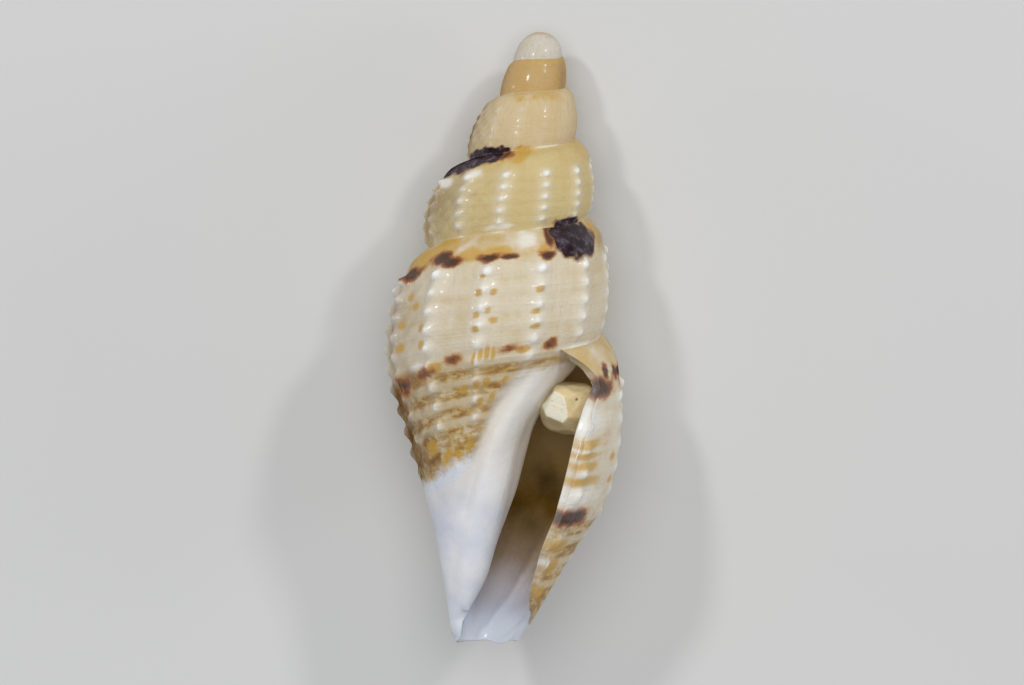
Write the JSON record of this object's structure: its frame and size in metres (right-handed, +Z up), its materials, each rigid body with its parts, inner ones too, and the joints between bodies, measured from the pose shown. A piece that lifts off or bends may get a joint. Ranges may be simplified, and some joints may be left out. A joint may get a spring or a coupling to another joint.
{
  "type": "tenaturris shell",
  "caption": "Slender spindle-shaped sea snail shell with beaded ribs and cords, a narrow mouth and a short open canal, lying on its back, with sand wedged in the mouth.",
  "frame": {"origin": "centre of the shell's bounding box, on the surface that it rests on", "axes": "+Y along the shell's length towards its apex, +Z up, out of its mouth, +X towards its outer lip"},
  "size_m": [0.0034, 0.008, 0.003],
  "materials": {
    "shell": "glossy, slightly translucent, cream and tan with dark blotches",
    "sand": "satin, pale cream"
  },
  "bodies": {
    "root": {"shell": "shell", "lodged_grain": "sand"}
  },
  "joints": []
}
